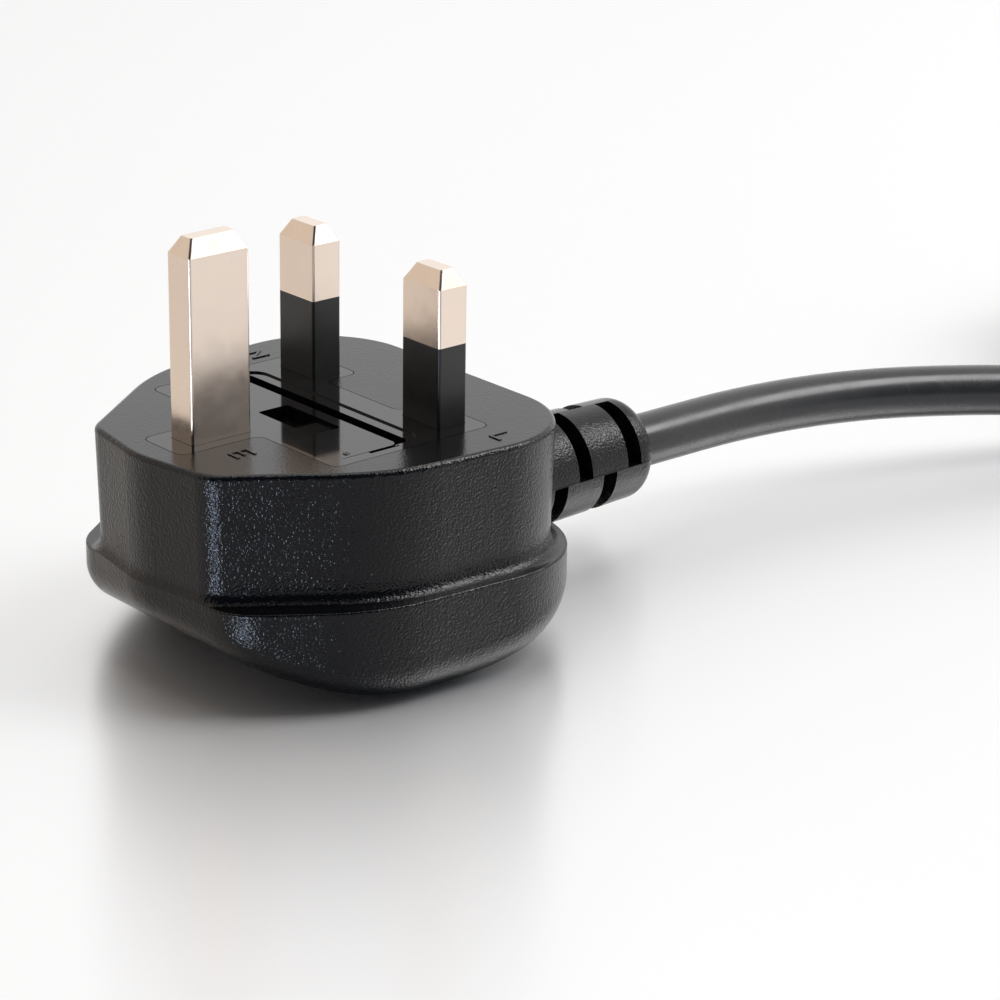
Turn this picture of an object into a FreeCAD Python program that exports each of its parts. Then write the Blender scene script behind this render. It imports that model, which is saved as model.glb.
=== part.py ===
import FreeCAD, Part
import math
import os
from types import SimpleNamespace

import Sketcher

# Moulded mains plug with three rectangular pins, a fuse carrier and its lead.
# It lies on its domed back with the pins up, as on a table. Lengths are in millimetres and angles
# in degrees. Plan sizes count from the pin datum, midway between the line and neutral pins, with
# +X towards the cord and the line pin on the -Y side. Heights count from the table.

Vector = FreeCAD.Vector
UP = Vector(0, 0, 1)

DRIVING = [
    # Body in plan: how far each side stands from the pin datum, its slant and its corner radii
    ("cord_end", 13.7),
    ("side_reach", 23.14),
    ("side_slant", 4.2),
    ("slope_reach", 26.4),
    ("slope_slant", 35.6),
    ("nose_reach", 32.0),
    ("nose_slant", 9.6),
    ("tip_reach", 32.25),
    ("heel_radius", 11.8),
    ("shoulder_radius", 22.0),
    ("nose_radius", 4.0),
    ("flange_nose_radius", 8.0),
    ("tip_radius", 12.0),
    # Body in section: pin face, ledge above the flange, and the domed back with its narrow rest
    ("face_height", 26.5),
    ("ledge_height", 11.8),
    ("ledge_overhang", 1.6),
    ("slope_overhang", 2.7),
    ("nose_overhang", 0.2),
    ("wall_draft", 1.5),
    ("rest_front", 10.3),
    ("rest_back", 6.0),
    ("nose_sweep", 32.0),
    ("heel_sweep", 35.0),
    ("back_rounding", 4.5),
    ("face_rounding", 0.6),
    ("ledge_rounding", 1.4),
    ("lip_rounding", 0.25),
    # Strain relief and cord
    ("cord_diameter", 6.6),
    ("cord_clearance", 0.05),
    ("relief_end", 39.45),
    ("relief_root", 9.7),
    ("relief_root_radius", 7.0),
    ("relief_end_radius", 6.2),
    ("relief_rounding", 2.0),
    ("relief_floor_radius", 4.3),
    ("slot_width", 2.2),
    ("slot_pitch", 8.05),
    ("slot_last", 35.6),
    ("slot_sweep", 90.0),
    ("seam_width", 0.16),
    ("seam_rise", 0.07),
    # Inner bridge and its cover
    ("fit_clearance", 0.05),
    ("room_clearance", 0.1),
    ("bridge_front", 3.4),
    ("bridge_margin", 0.6),
    ("bridge_end_margin", 1.6),
    ("bridge_corner", 1.2),
    ("lobe_end_margin", 2.635),
    ("lobe_side_margin", 1.615),
    ("notch_back", 1.4),
    ("notch_half_width", 6.6),
    ("cover_wall", 1.0),
    ("cord_window", 6.0),
    # Pins
    ("pin_half_pitch", 11.1),
    ("earth_pitch", 22.2),
    ("live_thickness", 3.97),
    ("live_width", 6.35),
    ("live_length", 17.7),
    ("live_neck_thickness", 2.8),
    ("live_neck_width", 5.0),
    ("sleeve_height", 9.2),
    ("sleeve_root", 3.0),
    ("earth_length", 22.73),
    ("earth_along", 7.93),
    ("earth_across", 3.97),
    ("tip_chamfer_height", 1.9),
    ("pin_edge_radius", 0.3),
    ("tip_chamfer_inset", 1.05),
    # Fuse, its carrier and its chamber
    ("fuse_offset", 12.6),
    ("fuse_slack", 0.225),
    ("fuse_diameter", 6.35),
    ("fuse_length", 25.4),
    ("cap_length", 6.0),
    ("cap_wall", 0.3),
    ("recess_front_margin", 1.6),
    ("recess_back_margin", 0.1),
    ("recess_end_margin", 0.4),
    ("recess_corner", 2.2),
    ("recess_depth", 0.2),
    ("shelf_front", 1.9),
    ("shelf_back", 0.6),
    ("shelf_end", 1.1),
    ("aperture_corner", 1.0),
    ("prise_front", 8.5),
    ("prise_back", 12.5),
    ("prise_width", 0.9),
    ("prise_depth", 1.2),
    ("carrier_gap", 1.6),
    ("carrier_play", 0.15),
    ("carrier_thickness", 2.4),
    ("pull_front", 9.4),
    ("pull_back", 13.5),
    ("pull_near", 6.5),
    ("pull_far", 3.2),
    ("pull_depth", 1.5),
    ("pull_corner", 0.4),
    ("cheek_half_length", 5.0),
    ("cheek_gap", 0.1),
    ("cheek_wall", 0.9),
    ("cheek_drop", 4.8),
    ("chamber_end_gap", 0.9),
    ("chamber_floor_wall", 1.6),
    # Clips and terminals
    ("clip_inset", 2.7),
    ("clip_width", 5.0),
    ("clip_metal", 0.5),
    ("clip_gap", 0.08),
    ("clip_rise", 1.9),
    ("tab_width", 2.0),
    ("strap_metal", 0.8),
    ("strap_half_width", 2.0),
    ("strap_front", 1.8),
    ("line_strap_station", 10.5),
    ("line_strap_back", 14.6),
    ("neutral_strap_back", 6.6),
    ("earth_strap_front", 13.8),
    ("earth_strap_back", 24.6),
    ("strap_seat", 0.29),
    ("line_strap_seat", 0.15),
    ("line_strap_cover", 0.1),
    ("barrel_diameter", 3.4),
    ("barrel_slack", 0.36),
    ("barrel_foot", 0.1),
    ("barrel_length", 4.0),
    # Cores of the cord
    ("core_diameter", 2.3),
    ("core_clearance", 0.05),
    ("core_side", 1.2),
    ("core_drop", 0.69),
    ("core_rise", 1.39),
    ("core_grip", 3.6),
    ("core_bend", 3.6),
    ("sheath_end", 0.2),
    ("neutral_barrel_offset", 5.0),
    ("neutral_barrel_start", 8.0),
    ("line_barrel_start", 5.2),
    ("earth_barrel_start", 13.0),
    # Put-away cord: an oval hank, its ties and the bare end
    ("hank_near", 154.5),
    ("hank_far", 229.5),
    ("hank_side", 5.0),
    ("hank_bottom", 0.6),
    ("hank_inner_radius", 19.8),
    ("hank_turn_pitch", 6.8),
    ("hank_layers", 3.0),
    ("hank_rounding", 2.6),
    ("tie_metal", 0.5),
    ("tie_width", 5.0),
    ("tie_clearance", 0.05),
    ("tie_station", 192.0),
    ("tail_tie_station", 215.5),
    ("tail_start", 223.5),
    ("tail_length", 18.0),
    ("end_core_length", 36.0),
    ("end_core_gap", 0.25),
    ("end_core_spread", 3.4),
    ("ferrule_length", 9.0),
    ("ferrule_diameter", 2.8),
    ("ferrule_tip_diameter", 1.6),
    ("ferrule_collar", 3.5),
]


class Size:
    """A length or angle, together with the spreadsheet expression that gives it."""

    def __init__(self, value, text):
        self.value = value
        self.text = text

    def __add__(self, other):
        other = size_of(other)
        return Size(self.value + other.value, f"({self.text} + {other.text})")

    def __sub__(self, other):
        other = size_of(other)
        return Size(self.value - other.value, f"({self.text} - {other.text})")

    def __mul__(self, factor):
        factor = size_of(factor)
        return Size(self.value * factor.value, f"({self.text} * {factor.text})")

    def __truediv__(self, factor):
        factor = size_of(factor)
        return Size(self.value / factor.value, f"({self.text} / {factor.text})")

    def __neg__(self):
        return Size(-self.value, f"(0 - {self.text})")


def size_of(number):
    return number if isinstance(number, Size) else Size(float(number), repr(float(number)))


doc = FreeCAD.newDocument("plug")
sheet = doc.addObject("Spreadsheet::Sheet", "sizes")
dim = SimpleNamespace()
for row, (alias, number) in enumerate(DRIVING, start=1):
    sheet.set(f"A{row}", alias)
    sheet.set(f"B{row}", str(number))
    sheet.setAlias(f"B{row}", alias)
    setattr(dim, alias, Size(number, f"sizes.{alias}"))
doc.recompute()

ZERO = size_of(0)
pieces = []

# Heights in the plug follow from the pin face downwards: lid, fuse, clips, bridge, terminals, cord
recess_floor = dim.face_height - dim.recess_depth
aperture_floor = recess_floor - dim.carrier_thickness
dim.fuse_height = aperture_floor - dim.fuse_slack - dim.fuse_diameter / 2
dim.chamber_floor = dim.fuse_height - dim.fuse_diameter / 2 - dim.fuse_slack - dim.clip_metal
dim.bridge_underside = dim.chamber_floor - dim.chamber_floor_wall
high_core = dim.bridge_underside - dim.barrel_slack - dim.barrel_diameter / 2
dim.cord_height = high_core - dim.core_rise
low_cores = dim.cord_height - dim.core_drop
strap_low = low_cores + dim.core_diameter / 2 + dim.strap_seat
dim.tail_end = strap_low + dim.strap_metal
tray_floor = low_cores - dim.barrel_diameter / 2 - dim.barrel_foot
dim.cover_bottom = tray_floor - dim.cover_wall
# Sizes in plan follow from the fuse outwards: cheeks, chamber, shelf, recess, bridge
dim.chamber_half_width = dim.fuse_diameter / 2 + dim.cheek_gap + dim.cheek_wall + dim.fuse_slack
dim.chamber_half_length = dim.fuse_length / 2 + dim.chamber_end_gap
dim.clip_station = dim.fuse_length / 2 - dim.clip_inset
dim.aperture_front = dim.fuse_offset - dim.chamber_half_width - dim.shelf_front
dim.aperture_back = dim.fuse_offset + dim.chamber_half_width + dim.shelf_back
dim.aperture_half_length = dim.chamber_half_length + dim.shelf_end
dim.recess_front = dim.aperture_front - dim.recess_front_margin
dim.recess_back = dim.aperture_back + dim.recess_back_margin
dim.recess_half_length = dim.aperture_half_length + dim.recess_end_margin
dim.bridge_back = dim.recess_back + dim.bridge_margin
dim.bridge_half_width = dim.recess_half_length + dim.bridge_end_margin
dim.lobe_tip = dim.earth_pitch + dim.earth_along / 2 + dim.lobe_end_margin
dim.lobe_half_width = dim.earth_across / 2 + dim.lobe_side_margin
# The model's origin is under the middle of the plug, so the pin datum is moved along X by this much.
datum_shift = (dim.tip_reach + dim.nose_overhang - dim.relief_end) / 2


def bind(thing, **sizes):
    for name, size in sizes.items():
        thing.setExpression(name, size.text)


def new_body(label, on_datum=True):
    body = doc.addObject("PartDesign::Body", label)
    body.Label = label
    if on_datum:
        body.setExpression("Placement.Base.x", datum_shift.text)
    pieces.append(body)
    return body


def new_sketch(body, name, plane, offset=None):
    sketch = body.newObject("Sketcher::SketchObject", f"{body.Name}_{name}")
    support = [f for f in body.Origin.OriginFeatures if f.Role == plane]
    sketch.AttachmentSupport = [(support[0], "")]
    sketch.MapMode = "FlatFace"
    if offset is not None:
        sketch.setExpression("AttachmentOffset.Base.z", offset.text)
    return sketch


def constrain(sketch, kind, *where, size=None):
    """Adds a constraint, and binds it to the sheet where it carries a size."""
    if size is None:
        return sketch.addConstraint(Sketcher.Constraint(kind, *where))
    value = math.radians(size.value) if kind == "Angle" else size.value
    index = sketch.addConstraint(Sketcher.Constraint(kind, *where, value))
    sketch.setExpression(f"Constraints[{index}]", size.text)
    return index


def add_loop(sketch, corners):
    """Closed loop of lines with tangent arcs at its corners, given as (x, y, radius or None)."""
    spots = [Vector(x, y, 0) for x, y, _ in corners]
    count = len(corners)
    enter, leave, arcs = [], [], []
    for i, (here, (_, _, radius)) in enumerate(zip(spots, corners)):
        back = (spots[i - 1] - here).normalize()
        ahead = (spots[(i + 1) % count] - here).normalize()
        if radius is None:
            enter.append(here)
            leave.append(here)
            arcs.append(None)
            continue
        half = back.getAngle(ahead) / 2
        enter.append(here + back * (radius.value / math.tan(half)))
        leave.append(here + ahead * (radius.value / math.tan(half)))
        centre = here + (back + ahead).normalize() * (radius.value / math.sin(half))
        convex = back.cross(ahead).z < 0
        first, last = (enter[i], leave[i]) if convex else (leave[i], enter[i])
        start = math.atan2(first.y - centre.y, first.x - centre.x)
        end = math.atan2(last.y - centre.y, last.x - centre.x)
        circle = Part.Circle(centre, UP, radius.value)
        arcs.append((sketch.addGeometry(Part.ArcOfCircle(circle, start, end)), convex, radius))
    lines = []
    for i in range(count):
        lines.append(sketch.addGeometry(Part.LineSegment(leave[i], enter[(i + 1) % count])))
    for i, arc in enumerate(arcs):
        if arc is None:
            constrain(sketch, "Coincident", lines[i - 1], 2, lines[i], 1)
            continue
        index, convex, radius = arc
        near, far = (1, 2) if convex else (2, 1)
        constrain(sketch, "Tangent", lines[i - 1], 2, index, near)
        constrain(sketch, "Tangent", index, far, lines[i], 1)
        constrain(sketch, "Radius", index, size=radius)
    return lines


def outline(sketch, corners):
    """Loop whose corner points are set by their coordinates, given as (x, y, radius or None)."""
    lines = add_loop(sketch, [(x.value, y.value, r) for x, y, r in corners])
    for i, (x, y, _) in enumerate(corners):
        point = sketch.addGeometry(Part.Point(Vector(x.value, y.value, 0)), True)
        constrain(sketch, "PointOnObject", point, 1, lines[i - 1])
        constrain(sketch, "PointOnObject", point, 1, lines[i])
        constrain(sketch, "DistanceX", -1, 1, point, 1, size=x)
        constrain(sketch, "DistanceY", -1, 1, point, 1, size=y)


def rectangle(sketch, low_x, high_x, low_y, high_y, radius=None):
    outline(sketch, [(high_x, low_y, radius), (high_x, high_y, radius),
                     (low_x, high_y, radius), (low_x, low_y, radius)])


def side_loop(sketch, sides):
    """Loop whose sides stand at given distances from the datum, as (heading, reach, next radius)."""
    normals = [(math.cos(math.radians(a.value)), math.sin(math.radians(a.value))) for a, _, _ in sides]
    corners = []
    for i, (_, reach, _) in enumerate(sides):
        (ax, ay), (bx, by) = normals[i - 1], normals[i]
        before = sides[i - 1]
        cross = ax * by - ay * bx
        x = (before[1].value * by - reach.value * ay) / cross
        y = (reach.value * ax - before[1].value * bx) / cross
        corners.append((x, y, before[2]))
    for line, (heading, reach, _) in zip(add_loop(sketch, corners), sides):
        constrain(sketch, "Angle", line, size=heading + 90)
        constrain(sketch, "Distance", -1, 1, line, size=reach)


def circle(sketch, x, y, diameter):
    index = sketch.addGeometry(Part.Circle(Vector(x.value, y.value, 0), UP, diameter.value / 2))
    constrain(sketch, "DistanceX", -1, 1, index, 3, size=x)
    constrain(sketch, "DistanceY", -1, 1, index, 3, size=y)
    constrain(sketch, "Diameter", index, size=diameter)


def volume(feature):
    return feature.Shape.Volume


def feature(body, kind, name, profile, **sizes):
    """Adds a feature on a sketch, and makes sure that it adds or takes material."""
    before = volume(body.Tip) if body.Tip and body.Tip.TypeId != "Sketcher::SketchObject" else 0.0
    made = body.newObject(f"PartDesign::{kind}", f"{body.Name}_{name}")
    made.Profile = profile
    options = {k: v for k, v in sizes.items() if not isinstance(v, Size)}
    for option, value in options.items():
        setattr(made, option, value)
    bind(made, **{k: v for k, v in sizes.items() if isinstance(v, Size)})
    doc.recompute()
    change = volume(made) - before
    if kind in ("Pocket", "Groove", "SubtractivePipe") and change >= 0:
        raise ValueError(f"{made.Name} takes nothing away")
    if kind in ("Pad", "Revolution", "AdditivePipe", "AdditiveLoft") and change <= 0:
        raise ValueError(f"{made.Name} adds nothing")
    return made


def pad(body, name, profile, length, **options):
    return feature(body, "Pad", name, profile, Length=length, **options)


def pocket(body, name, profile, depth, **options):
    return feature(body, "Pocket", name, profile, Length=depth, **options)


def round_edges(body, name, radius, chosen):
    """Fillets the edges of the body's last feature that the test chooses."""
    base = body.Tip
    names = [f"Edge{i}" for i, edge in enumerate(base.Shape.Edges, start=1) if chosen(edge)]
    made = body.newObject("PartDesign::Fillet", f"{body.Name}_{name}")
    made.Base = (base, names)
    bind(made, Radius=radius)
    doc.recompute()
    return made


def lies_at(edge, height):
    """Whether an edge lies all along at one height."""
    box = edge.BoundBox
    return abs(box.ZMin - height.value) < 1e-4 and abs(box.ZMax - height.value) < 1e-4


def plan_sides(sketch, grow, slope_grow, nose_grow, nose_radius):
    """The plug's outline in plan, with its sides, slopes and nose each moved outwards."""
    right = size_of(90)
    side, slope = dim.side_reach + grow, dim.slope_reach + slope_grow
    nose, tip = dim.nose_reach + nose_grow, dim.tip_reach + nose_grow
    heel, shoulder = dim.heel_radius + grow, dim.shoulder_radius + grow
    side_loop(sketch, [
        (size_of(0), dim.cord_end + grow, heel),
        (right + dim.side_slant, side, shoulder),
        (right + dim.slope_slant, slope, nose_radius),
        (right * 2 - dim.nose_slant, nose, dim.tip_radius),
        (right * 2, tip, dim.tip_radius),
        (right * 2 + dim.nose_slant, nose, nose_radius),
        (right * 3 - dim.slope_slant, slope, shoulder),
        (right * 3 - dim.side_slant, side, heel),
    ])


def bridge_outline(sketch, grow):
    """Outline of the inner bridge: a broad head, a notch towards the cord and a lobe at the earth pin."""
    front, back = dim.bridge_front + grow, -(dim.bridge_back + grow)
    side, lobe = dim.bridge_half_width + grow, dim.lobe_half_width + grow
    notch, notch_side = grow - dim.notch_back, dim.notch_half_width - grow
    tip = -(dim.lobe_tip + grow)
    outer, inner = dim.bridge_corner + grow, dim.bridge_corner - grow
    outline(sketch, [
        (front, -side, outer), (front, -notch_side, outer), (notch, -notch_side, inner),
        (notch, notch_side, inner), (front, notch_side, outer), (front, side, outer),
        (back, side, outer), (back, lobe, inner), (tip, lobe, outer),
        (tip, -lobe, outer), (back, -lobe, inner), (back, -side, outer),
    ])


def back_curve(sketch):
    """Region under the domed back: a narrow flat rest with an upward sweep to each end."""
    front, back = -dim.rest_front, -dim.rest_back
    far_front = -(dim.tip_reach + dim.ledge_overhang)
    far_back = dim.cord_end + dim.ledge_overhang * 2
    depth = -dim.back_rounding

    def arc_height(radius, run):
        return radius.value - math.sqrt(radius.value ** 2 - run.value ** 2)

    rise_front = arc_height(dim.nose_sweep, far_front - front)
    rise_back = arc_height(dim.heel_sweep, far_back - back)
    quarter = -math.pi / 2
    swing_front = math.asin((front - far_front).value / dim.nose_sweep.value)
    swing_back = math.asin((far_back - back).value / dim.heel_sweep.value)
    nose_circle = Part.Circle(Vector(front.value, dim.nose_sweep.value, 0), UP, dim.nose_sweep.value)
    heel_circle = Part.Circle(Vector(back.value, dim.heel_sweep.value, 0), UP, dim.heel_sweep.value)
    nose = sketch.addGeometry(Part.ArcOfCircle(nose_circle, quarter - swing_front, quarter))
    rest = sketch.addGeometry(Part.LineSegment(Vector(front.value, 0, 0), Vector(back.value, 0, 0)))
    heel = sketch.addGeometry(Part.ArcOfCircle(heel_circle, quarter, quarter + swing_back))
    ends = [Vector(far_back.value, rise_back, 0), Vector(far_back.value, depth.value, 0),
            Vector(far_front.value, depth.value, 0), Vector(far_front.value, rise_front, 0)]
    drop, floor, climb = [sketch.addGeometry(Part.LineSegment(a, b)) for a, b in zip(ends, ends[1:])]
    constrain(sketch, "Tangent", nose, 2, rest, 1)
    constrain(sketch, "Tangent", rest, 2, heel, 1)
    constrain(sketch, "Coincident", heel, 2, drop, 1)
    constrain(sketch, "Coincident", drop, 2, floor, 1)
    constrain(sketch, "Coincident", floor, 2, climb, 1)
    constrain(sketch, "Coincident", climb, 2, nose, 1)
    constrain(sketch, "PointOnObject", rest, 1, -1)
    constrain(sketch, "Horizontal", rest)
    constrain(sketch, "Vertical", drop)
    constrain(sketch, "Horizontal", floor)
    constrain(sketch, "Vertical", climb)
    constrain(sketch, "Radius", nose, size=dim.nose_sweep)
    constrain(sketch, "Radius", heel, size=dim.heel_sweep)
    constrain(sketch, "DistanceX", -1, 1, rest, 1, size=front)
    constrain(sketch, "DistanceX", -1, 1, rest, 2, size=back)
    constrain(sketch, "DistanceX", -1, 1, drop, 1, size=far_back)
    constrain(sketch, "DistanceX", -1, 1, climb, 1, size=far_front)
    constrain(sketch, "DistanceY", -1, 1, floor, 1, size=depth)


def cord_axis(sketch):
    """Construction line along the cord, for turning a profile about."""
    line = Part.LineSegment(Vector(0, dim.cord_height.value, 0), Vector(1, dim.cord_height.value, 0))
    index = sketch.addGeometry(line, True)
    constrain(sketch, "Horizontal", index)
    constrain(sketch, "DistanceX", -1, 1, index, 1, size=ZERO)
    constrain(sketch, "DistanceX", -1, 1, index, 2, size=size_of(1))
    constrain(sketch, "DistanceY", -1, 1, index, 1, size=dim.cord_height)


# Moulded body: flange and back, grip, strain relief, and the room for what it holds
body = new_body("plug_body")
wide = new_sketch(body, "wide_flange", "XY_Plane")
plan_sides(wide, dim.ledge_overhang, dim.slope_overhang, dim.slope_overhang, dim.nose_radius)
pad(body, "flange_pad", wide, dim.ledge_height)
grip = new_sketch(body, "grip", "XY_Plane", dim.face_height)
plan_sides(grip, ZERO, ZERO, ZERO, dim.nose_radius)
pad(body, "grip_pad", grip, dim.face_height - dim.ledge_height, Reversed=True, TaperAngle=-dim.wall_draft)
across = (dim.side_reach + dim.ledge_overhang + dim.side_reach) * 2


def on_flange_wall(edge):
    """Whether an edge of the ledge is its outer one, on the flange's upright wall."""
    spot = edge.valueAt((edge.FirstParameter + edge.LastParameter) / 2)
    inward = spot - Vector(-dim.fuse_offset.value, 0, 0)
    return body.Tip.Shape.isInside(spot - UP * 0.05 - inward.normalize() * 0.05, 1e-6, True) \
        and not body.Tip.Shape.isInside(spot + UP * 0.05 - inward * 0.05, 1e-6, True)


# The cove above the ledge needs room, so the flange is padded wide and then trimmed to its outline
round_edges(body, "ledge_foot", dim.ledge_rounding,
            lambda edge: lies_at(edge, dim.ledge_height) and not on_flange_wall(edge))
flange = new_sketch(body, "flange", "XY_Plane")
plan_sides(flange, dim.ledge_overhang, dim.slope_overhang, dim.nose_overhang, dim.flange_nose_radius)
rectangle(flange, -across, across, -across, across)
pocket(body, "flange_trim", flange, dim.ledge_height + dim.ledge_rounding, Reversed=True)
dome = new_sketch(body, "dome", "XZ_Plane")
back_curve(dome)
pocket(body, "dome_cut", dome, across, Midplane=True)


def on_back_rim(edge):
    """Whether an edge runs round the domed back, where it meets the flange's wall."""
    tangent = edge.tangentAt((edge.FirstParameter + edge.LastParameter) / 2)
    across_rest = lies_at(edge, ZERO) and abs(tangent.x) < 1e-3
    return edge.BoundBox.ZMax < dim.ledge_height.value - 1 and abs(tangent.z) < 0.99 and not across_rest


round_edges(body, "back_rim", dim.back_rounding, on_back_rim)
round_edges(body, "face_edge", dim.face_rounding, lambda edge: lies_at(edge, dim.face_height))


def on_lip(edge):
    """Whether an edge is the flange's upper rim: along the ledge, and up the cove at the nose."""
    box = edge.BoundBox
    low, high = dim.ledge_height.value, dim.ledge_height.value + dim.ledge_rounding.value
    return box.ZMin > low - 1e-4 and box.ZMax < high and on_flange_wall(edge)


round_edges(body, "ledge_lip", dim.lip_rounding, on_lip)

relief = new_sketch(body, "relief", "XZ_Plane")
cord_axis(relief)
outline(relief, [
    (dim.relief_root, dim.cord_height, None),
    (dim.relief_end, dim.cord_height, None),
    (dim.relief_end, dim.cord_height + dim.relief_end_radius, dim.relief_rounding),
    (dim.relief_root, dim.cord_height + dim.relief_root_radius, None),
])
feature(body, "Revolution", "relief_turn", relief, ReferenceAxis=(relief, ["Axis0"]))
seam = new_sketch(body, "seam", "XY_Plane", dim.cord_height)
seam_root, seam_end = dim.relief_root_radius + dim.seam_rise, dim.relief_end_radius + dim.seam_rise
seam_corner = dim.relief_rounding + dim.seam_rise
outline(seam, [
    (dim.relief_root, -seam_root, None), (dim.relief_end, -seam_end, seam_corner),
    (dim.relief_end, seam_end, seam_corner), (dim.relief_root, seam_root, None),
])
pad(body, "seam_pad", seam, dim.seam_width, Midplane=True)


def slot_rows(name, stations, flip):
    """Quarter-turn slots, above the cord to one side and below it to the other."""
    rows = new_sketch(body, name, "XZ_Plane")
    cord_axis(rows)
    inner, outer = dim.relief_floor_radius, dim.relief_root_radius + dim.slot_width
    for station in stations:
        low, high = station - dim.slot_width / 2, station + dim.slot_width / 2
        rectangle(rows, low, high, dim.cord_height + inner, dim.cord_height + outer)
        rectangle(rows, low, high, dim.cord_height - outer, dim.cord_height - inner)
    feature(body, "Groove", f"{name}_cut", rows, ReferenceAxis=(rows, ["Axis0"]),
            Reversed=flip, Angle=dim.slot_sweep)


last, pitch = dim.slot_last, dim.slot_pitch
slot_rows("near_slots", [last, last - pitch, last - pitch * 2], False)
slot_rows("far_slots", [last - pitch * 0.5, last - pitch * 1.5], True)

room = new_sketch(body, "room", "XY_Plane", dim.face_height)
bridge_outline(room, dim.room_clearance)
pocket(body, "room_cut", room, dim.face_height - dim.cover_bottom)
bore = new_sketch(body, "bore", "YZ_Plane", dim.relief_end)
circle(bore, ZERO, dim.cord_height, dim.cord_diameter + dim.cord_clearance * 2)
pocket(body, "bore_cut", bore, dim.relief_end + dim.notch_back)


def centred(sketch, x, y, half_x, half_y, radius=None):
    rectangle(sketch, x - half_x, x + half_x, y - half_y, y + half_y, radius)


def block(piece, name, low, high, draw):
    """Adds an upright block between two heights, on the outline that is drawn."""
    sketch = new_sketch(piece, name, "XY_Plane", low)
    draw(sketch)
    return pad(piece, f"{name}_pad", sketch, high - low)


def well(piece, name, top, floor, draw):
    """Takes away a straight-sided well between two heights."""
    sketch = new_sketch(piece, name, "XY_Plane", top)
    draw(sketch)
    return pocket(piece, f"{name}_cut", sketch, top - floor)


live_x, live_y = dim.live_thickness / 2, dim.live_width / 2
neck_x, neck_y = dim.live_neck_thickness / 2, dim.live_neck_width / 2
earth_x, earth_y = dim.earth_along / 2, dim.earth_across / 2
slack = dim.fit_clearance
fuse_x = -dim.fuse_offset
sides = [-dim.pin_half_pitch, dim.pin_half_pitch]

# Inner bridge: carries the pins and holds the fuse chamber
bridge = new_body("pin_bridge")
face = dim.face_height
under = dim.bridge_underside
block(bridge, "slab", under, face, lambda k: bridge_outline(k, ZERO))
well(bridge, "recess", face, recess_floor, lambda k: rectangle(
    k, -dim.recess_back, -dim.recess_front, -dim.recess_half_length, dim.recess_half_length,
    dim.recess_corner))
well(bridge, "aperture", face, aperture_floor, lambda k: rectangle(
    k, -dim.aperture_back, -dim.aperture_front, -dim.aperture_half_length, dim.aperture_half_length,
    dim.aperture_corner))
well(bridge, "prise", face, recess_floor - dim.prise_depth, lambda k: rectangle(
    k, -dim.prise_back, -dim.prise_front, -dim.aperture_half_length - dim.prise_width,
    -dim.aperture_half_length + dim.prise_width))
well(bridge, "chamber", face, dim.chamber_floor, lambda k: centred(
    k, fuse_x, ZERO, dim.chamber_half_width, dim.chamber_half_length, dim.aperture_corner))


def pin_rooms(sketch, half_x, half_y, radius=None):
    for y in sides:
        centred(sketch, ZERO, y, half_x + slack, half_y + slack, radius)


def pin_holes(sketch):
    pin_rooms(sketch, neck_x, neck_y)
    centred(sketch, -dim.earth_pitch, ZERO, earth_x + slack, earth_y + slack, dim.pin_edge_radius)
    for station in (-dim.clip_station, dim.clip_station):
        centred(sketch, fuse_x, station, dim.tab_width / 2 + slack, dim.clip_metal / 2 + slack)


well(bridge, "sleeve_room", face, face - dim.sleeve_root,
     lambda k: pin_rooms(k, live_x, live_y, dim.pin_edge_radius))
well(bridge, "pin_holes", face, under, pin_holes)

# Cover under the bridge: an open tray round the terminals, with a window for the cores
cover = new_body("terminal_cover")
block(cover, "tray", dim.cover_bottom, under, lambda k: bridge_outline(k, ZERO))
well(cover, "inside", under, tray_floor, lambda k: bridge_outline(k, -dim.cover_wall))
well(cover, "window", under, tray_floor, lambda k: centred(
    k, -dim.notch_back - dim.cover_wall / 2, ZERO, dim.cover_wall, dim.cord_window / 2))


# Pins: plated bars with tapered tips, and sleeves on the two shorter ones
def add_tip(piece, top, x, y, half_x, half_y):
    base = new_sketch(piece, "tip_base", "XY_Plane", top - dim.tip_chamfer_height)
    centred(base, x, y, half_x, half_y, dim.pin_edge_radius)
    end = new_sketch(piece, "tip_end", "XY_Plane", top)
    inset = dim.tip_chamfer_inset
    centred(end, x, y, half_x - inset, half_y - inset, dim.pin_edge_radius)
    feature(piece, "AdditiveLoft", "tip", base, Sections=[end], Ruled=True)


sleeve_top = face + dim.sleeve_height
for name, y in zip(("line", "neutral"), sides):
    pin = new_body(f"{name}_pin")
    top = face + dim.live_length
    block(pin, "neck", dim.tail_end, sleeve_top, lambda k: centred(k, ZERO, y, neck_x, neck_y))
    block(pin, "bar", sleeve_top, top - dim.tip_chamfer_height,
          lambda k: centred(k, ZERO, y, live_x, live_y, dim.pin_edge_radius))
    add_tip(pin, top, ZERO, y, live_x, live_y)
    sleeve = new_body(f"{name}_pin_sleeve")
    root = face - dim.sleeve_root
    block(sleeve, "jacket", root, sleeve_top,
          lambda k: centred(k, ZERO, y, live_x, live_y, dim.pin_edge_radius))
    well(sleeve, "inside", sleeve_top, root,
         lambda k: centred(k, ZERO, y, neck_x + slack, neck_y + slack))

earth = new_body("earth_pin")
earth_top = face + dim.earth_length
block(earth, "bar", dim.tail_end, earth_top - dim.tip_chamfer_height,
      lambda k: centred(k, -dim.earth_pitch, ZERO, earth_x, earth_y, dim.pin_edge_radius))
add_tip(earth, earth_top, -dim.earth_pitch, ZERO, earth_x, earth_y)

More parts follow.
